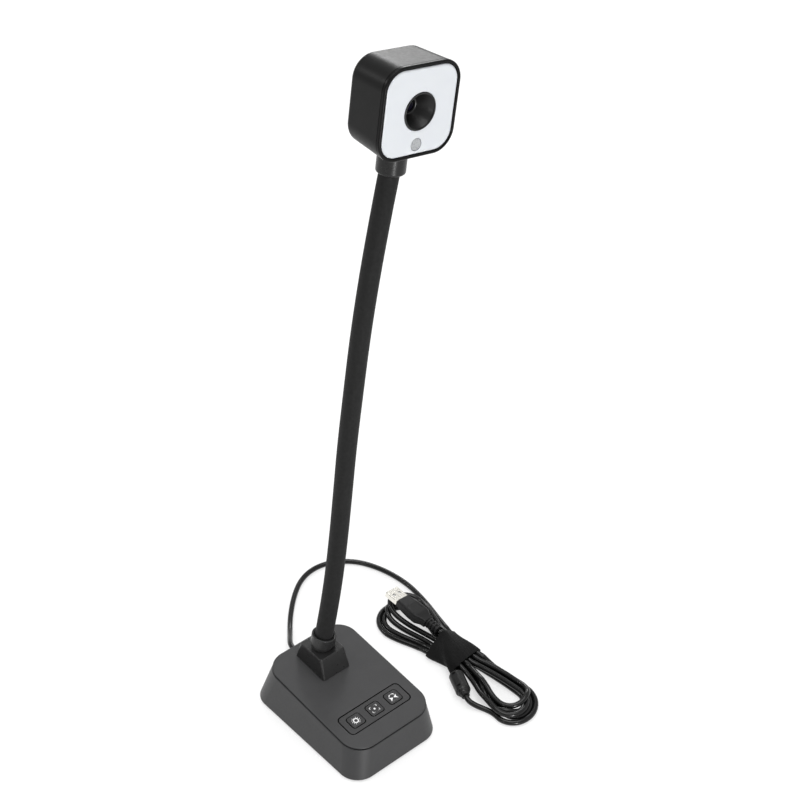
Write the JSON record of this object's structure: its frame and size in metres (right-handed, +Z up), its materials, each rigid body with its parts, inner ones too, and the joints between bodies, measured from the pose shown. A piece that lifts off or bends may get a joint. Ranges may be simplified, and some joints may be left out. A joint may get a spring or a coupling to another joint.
{
  "type": "document camera",
  "caption": "Desk document camera: wedge base with push keys, bendable neck and square head with a lens in a lit panel, and a USB cord tied in a hank.",
  "frame": {"origin": "on the desk, under the middle of the base", "axes": "+Z up; the keys and the lens face -Y, the front; +X is the object's right-hand side as seen from the front"},
  "size_m": [0.1594, 0.2261, 0.4775],
  "materials": {
    "base_plastic": "fine matte texture",
    "plate_plastic": "matte",
    "steel": "plain steel",
    "rubber": "matte rubber",
    "key_plastic": "satin, with white pictograms",
    "circuit_board": "green laminate",
    "switch_plastic": "black",
    "pedestal_plastic": "satin to gloss",
    "neck_sleeve": "very matte soft sleeve",
    "neck_core": "steel wire coil",
    "head_plastic": "satin black",
    "frame_plastic": "satin to gloss black",
    "diffuser": "smooth white",
    "sensor_window": "smooth grey",
    "white_board": "white laminate",
    "lens_plastic": "black, finely grooved",
    "lens_glass": "coated glass",
    "cord_jacket": "semi-gloss",
    "hook_and_loop": "brushed pile",
    "ferrite_cover": "satin",
    "plug_mould": "fine matte texture",
    "nickel": "nickel plated",
    "contact_plastic": "white"
  },
  "bodies": {
    "base": {"base_skirt": "base_plastic", "base_top_panel": "base_plastic", "base_bottom_plate": "plate_plastic", "ballast_plate": "steel", "anti_slip_pad": "rubber", "base_screw_1": "steel", "base_screw_2": "steel", "base_screw_3": "steel", "base_screw_4": "steel", "key_surround": "base_plastic", "control_board": "circuit_board", "switch_light": "switch_plastic", "switch_focus": "switch_plastic", "switch_mirror": "switch_plastic", "pedestal": "pedestal_plastic", "neck_collar_lower": "pedestal_plastic", "cord_strain_relief": "rubber", "neck_sleeve_1": "neck_sleeve", "neck_core_1": "neck_core", "cord_tube": "cord_jacket", "cord_hank": "cord_jacket", "cable_tie": "hook_and_loop", "ferrite_bead": "ferrite_cover", "usb_plug_overmould": "plug_mould", "usb_plug_shell": "nickel", "usb_plug_tongue": "contact_plastic"},
    "neck_link_2": {"neck_sleeve_2": "neck_sleeve", "neck_core_2": "neck_core"},
    "neck_link_3": {"neck_sleeve_3": "neck_sleeve", "neck_core_3": "neck_core"},
    "neck_link_4": {"neck_sleeve_4": "neck_sleeve", "neck_core_4": "neck_core"},
    "neck_link_5": {"neck_sleeve_5": "neck_sleeve", "neck_core_5": "neck_core"},
    "neck_link_6": {"neck_sleeve_6": "neck_sleeve", "neck_core_6": "neck_core"},
    "neck_link_7": {"neck_sleeve_7": "neck_sleeve", "neck_core_7": "neck_core"},
    "neck_link_8": {"neck_sleeve_8": "neck_sleeve", "neck_core_8": "neck_core"},
    "head": {"neck_sleeve_9": "neck_sleeve", "neck_core_9": "neck_core", "neck_collar_upper": "head_plastic", "head_housing": "head_plastic", "head_front_frame": "frame_plastic", "light_diffuser": "diffuser", "sensor_window": "sensor_window", "light_board": "white_board", "lens_hood": "lens_plastic", "lens_barrel": "lens_plastic", "lens_glass": "lens_glass", "camera_board": "white_board"},
    "key_light": {"key_light": "key_plastic"},
    "key_focus": {"key_focus": "key_plastic"},
    "key_mirror": {"key_mirror": "key_plastic"}
  },
  "joints": [
    {"name": "neck_bend_1_fore_aft", "type": "hinge", "parent": "base", "child": "neck_link_2", "pos_m": [0.00825, 0.02446, 0.09603], "axis": [0.9899, 0.0072, -0.1415], "range_deg": [-25, 25]},
    {"name": "neck_bend_2_sideways", "type": "hinge", "parent": "neck_link_2", "child": "neck_link_3", "pos_m": [0.01301, 0.02277, 0.13551], "axis": [0, 0.9992, 0.0388], "range_deg": [-15, 15]},
    {"name": "neck_bend_3_fore_aft", "type": "hinge", "parent": "neck_link_3", "child": "neck_link_4", "pos_m": [0.01686, 0.0214, 0.1751], "axis": [0.9955, 0.0032, -0.0943], "range_deg": [-25, 25]},
    {"name": "neck_bend_4_sideways", "type": "hinge", "parent": "neck_link_4", "child": "neck_link_5", "pos_m": [0.02052, 0.02009, 0.21471], "axis": [0, 0.9993, 0.0373], "range_deg": [-15, 15]},
    {"name": "neck_bend_5_fore_aft", "type": "hinge", "parent": "neck_link_5", "child": "neck_link_6", "pos_m": [0.02516, 0.01844, 0.25421], "axis": [0.993, 0.005, -0.118], "range_deg": [-25, 25]},
    {"name": "neck_bend_6_sideways", "type": "hinge", "parent": "neck_link_6", "child": "neck_link_7", "pos_m": [0.02992, 0.01675, 0.29368], "axis": [0, 0.9989, 0.0477], "range_deg": [-15, 15]},
    {"name": "neck_bend_7_fore_aft", "type": "hinge", "parent": "neck_link_7", "child": "neck_link_8", "pos_m": [0.03572, 0.01468, 0.333], "axis": [0.9875, 0.009, -0.1577], "range_deg": [-25, 25]},
    {"name": "neck_bend_8_sideways", "type": "hinge", "parent": "neck_link_8", "child": "head", "pos_m": [0.04249, 0.01227, 0.37215], "axis": [0, 0.9979, 0.0642], "range_deg": [-15, 15]},
    {"name": "key_light_press", "type": "slide", "parent": "base", "child": "key_light", "axis": [0, 0.0898, -0.996], "range_m": [0, 0.0005], "stiffness_N_per_m": 1200, "springref_m": -0.0005},
    {"name": "key_focus_press", "type": "slide", "parent": "base", "child": "key_focus", "axis": [0, 0.0898, -0.996], "range_m": [0, 0.0005], "stiffness_N_per_m": 1200, "springref_m": -0.0005},
    {"name": "key_mirror_press", "type": "slide", "parent": "base", "child": "key_mirror", "axis": [0, 0.0898, -0.996], "range_m": [0, 0.0005], "stiffness_N_per_m": 1200, "springref_m": -0.0005}
  ],
  "couplings": [
    {"joint": "neck_bend_3_fore_aft", "follows": "neck_bend_1_fore_aft", "ratio": 1},
    {"joint": "neck_bend_7_fore_aft", "follows": "neck_bend_5_fore_aft", "ratio": 1},
    {"joint": "neck_bend_4_sideways", "follows": "neck_bend_2_sideways", "ratio": 1},
    {"joint": "neck_bend_8_sideways", "follows": "neck_bend_6_sideways", "ratio": 1}
  ]
}
